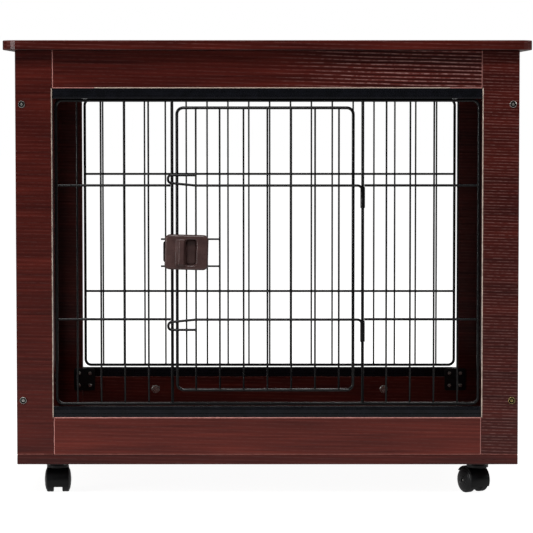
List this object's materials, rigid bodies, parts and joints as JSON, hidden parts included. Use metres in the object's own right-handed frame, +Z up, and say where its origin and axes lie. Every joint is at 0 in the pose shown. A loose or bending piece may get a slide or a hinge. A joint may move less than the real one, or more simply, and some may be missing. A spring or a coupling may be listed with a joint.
{
  "type": "wire dog crate",
  "caption": "Furniture-style dog crate: laminated board frames with welded wire panels, a hinged wire door with a sliding latch, and swivel castors.",
  "frame": {"origin": "on the floor under the middle of the crate", "axes": "+X to the right seen from the front, +Y to the back, +Z up"},
  "size_m": [0.833, 0.6, 0.72],
  "materials": {
    "cherry_laminate": "semi-gloss dark cherry wood-grain laminate",
    "powder_coated_wire": "glossy black powder coat",
    "black_fittings": "satin black",
    "brown_latch_plastic": "satin dark brown moulding",
    "zinc_fasteners": "bright zinc plate",
    "brass_fastener": "yellow zinc or brass plate",
    "castor_plastic": "satin black moulding",
    "castor_wheel": "hard black wheel"
  },
  "bodies": {
    "case": {"top_board": "cherry_laminate", "bottom_board": "cherry_laminate", "front_left_stile": "cherry_laminate", "front_right_stile": "cherry_laminate", "front_top_rail": "cherry_laminate", "front_bottom_rail": "cherry_laminate", "rear_left_stile": "cherry_laminate", "rear_right_stile": "cherry_laminate", "rear_top_rail": "cherry_laminate", "rear_bottom_rail": "cherry_laminate", "left_front_stile": "cherry_laminate", "left_rear_stile": "cherry_laminate", "left_top_rail": "cherry_laminate", "left_bottom_rail": "cherry_laminate", "right_front_stile": "cherry_laminate", "right_rear_stile": "cherry_laminate", "right_top_rail": "cherry_laminate", "right_bottom_rail": "cherry_laminate", "front_panel_frame": "powder_coated_wire", "front_left_grille": "powder_coated_wire", "front_right_grille": "powder_coated_wire", "rear_panel": "powder_coated_wire", "left_panel": "powder_coated_wire", "right_panel": "powder_coated_wire", "front_top_strip": "black_fittings", "front_bottom_strip": "black_fittings", "rear_top_strip": "black_fittings", "rear_bottom_strip": "black_fittings", "rear_left_corner_plate": "black_fittings", "rear_right_corner_plate": "black_fittings", "cam_lock_left": "zinc_fasteners", "cam_lock_right": "zinc_fasteners", "frame_screw_lower_left": "zinc_fasteners", "frame_screw_upper_left": "zinc_fasteners", "frame_screw_upper_right": "zinc_fasteners", "frame_screw_lower_right": "brass_fastener", "castor_plate_front_left": "black_fittings", "castor_plate_front_right": "black_fittings", "castor_plate_rear_left": "black_fittings", "castor_plate_rear_right": "black_fittings"},
    "door": {"door": "powder_coated_wire"},
    "latch": {"latch_housing": "brown_latch_plastic", "latch_rear_cover": "brown_latch_plastic", "latch_bolt": "powder_coated_wire"},
    "castor_front_left": {"castor_hood_front_left": "castor_plastic", "castor_axle_front_left": "zinc_fasteners"},
    "wheel_front_left_left": {"wheel_front_left_left": "castor_wheel"},
    "wheel_front_left_right": {"wheel_front_left_right": "castor_wheel"},
    "castor_front_right": {"castor_hood_front_right": "castor_plastic", "castor_axle_front_right": "zinc_fasteners"},
    "wheel_front_right_left": {"wheel_front_right_left": "castor_wheel"},
    "wheel_front_right_right": {"wheel_front_right_right": "castor_wheel"},
    "castor_rear_left": {"castor_hood_rear_left": "castor_plastic", "castor_axle_rear_left": "zinc_fasteners"},
    "wheel_rear_left_left": {"wheel_rear_left_left": "castor_wheel"},
    "wheel_rear_left_right": {"wheel_rear_left_right": "castor_wheel"},
    "castor_rear_right": {"castor_hood_rear_right": "castor_plastic", "castor_axle_rear_right": "zinc_fasteners"},
    "wheel_rear_right_left": {"wheel_rear_right_left": "castor_wheel"},
    "wheel_rear_right_right": {"wheel_rear_right_right": "castor_wheel"}
  },
  "joints": [
    {"name": "door_swing", "type": "hinge", "parent": "case", "child": "door", "pos_m": [0.1504, -0.2725, 0.386], "axis": [0, 0, 1], "range_deg": [0, 100]},
    {"name": "latch_slide", "type": "slide", "parent": "door", "child": "latch", "axis": [1, 0, 0], "range_m": [0, 0.019]},
    {"name": "swivel_front_left", "type": "hinge", "parent": "case", "child": "castor_front_left", "pos_m": [-0.335, -0.25, 0.045], "axis": [0, 0, 1], "continuous": true},
    {"name": "swivel_front_right", "type": "hinge", "parent": "case", "child": "castor_front_right", "pos_m": [0.335, -0.25, 0.045], "axis": [0, 0, 1], "continuous": true},
    {"name": "swivel_rear_left", "type": "hinge", "parent": "case", "child": "castor_rear_left", "pos_m": [-0.335, 0.25, 0.045], "axis": [0, 0, 1], "continuous": true},
    {"name": "swivel_rear_right", "type": "hinge", "parent": "case", "child": "castor_rear_right", "pos_m": [0.335, 0.25, 0.045], "axis": [0, 0, 1], "continuous": true},
    {"name": "wheel_spin_front_left_left", "type": "hinge", "parent": "castor_front_left", "child": "wheel_front_left_left", "pos_m": [-0.33584, -0.23803, 0.02], "axis": [0.9976, 0.0698, 0], "continuous": true},
    {"name": "wheel_spin_front_left_right", "type": "hinge", "parent": "castor_front_left", "child": "wheel_front_left_right", "pos_m": [-0.33584, -0.23803, 0.02], "axis": [0.9976, 0.0698, 0], "continuous": true},
    {"name": "wheel_spin_front_right_left", "type": "hinge", "parent": "castor_front_right", "child": "wheel_front_right_left", "pos_m": [0.329, -0.23961, 0.02], "axis": [0.866, 0.5, 0], "continuous": true},
    {"name": "wheel_spin_front_right_right", "type": "hinge", "parent": "castor_front_right", "child": "wheel_front_right_right", "pos_m": [0.329, -0.23961, 0.02], "axis": [0.866, 0.5, 0], "continuous": true},
    {"name": "wheel_spin_rear_left_left", "type": "hinge", "parent": "castor_rear_left", "child": "wheel_rear_left_left", "pos_m": [-0.3309, 0.26128, 0.02], "axis": [0.9397, -0.342, 0], "continuous": true},
    {"name": "wheel_spin_rear_left_right", "type": "hinge", "parent": "castor_rear_left", "child": "wheel_rear_left_right", "pos_m": [-0.3309, 0.26128, 0.02], "axis": [0.9397, -0.342, 0], "continuous": true},
    {"name": "wheel_spin_rear_right_left", "type": "hinge", "parent": "castor_rear_right", "child": "wheel_rear_right_left", "pos_m": [0.3321, 0.26164, 0.02], "axis": [0.9703, 0.2419, 0], "continuous": true},
    {"name": "wheel_spin_rear_right_right", "type": "hinge", "parent": "castor_rear_right", "child": "wheel_rear_right_right", "pos_m": [0.3321, 0.26164, 0.02], "axis": [0.9703, 0.2419, 0], "continuous": true}
  ]
}
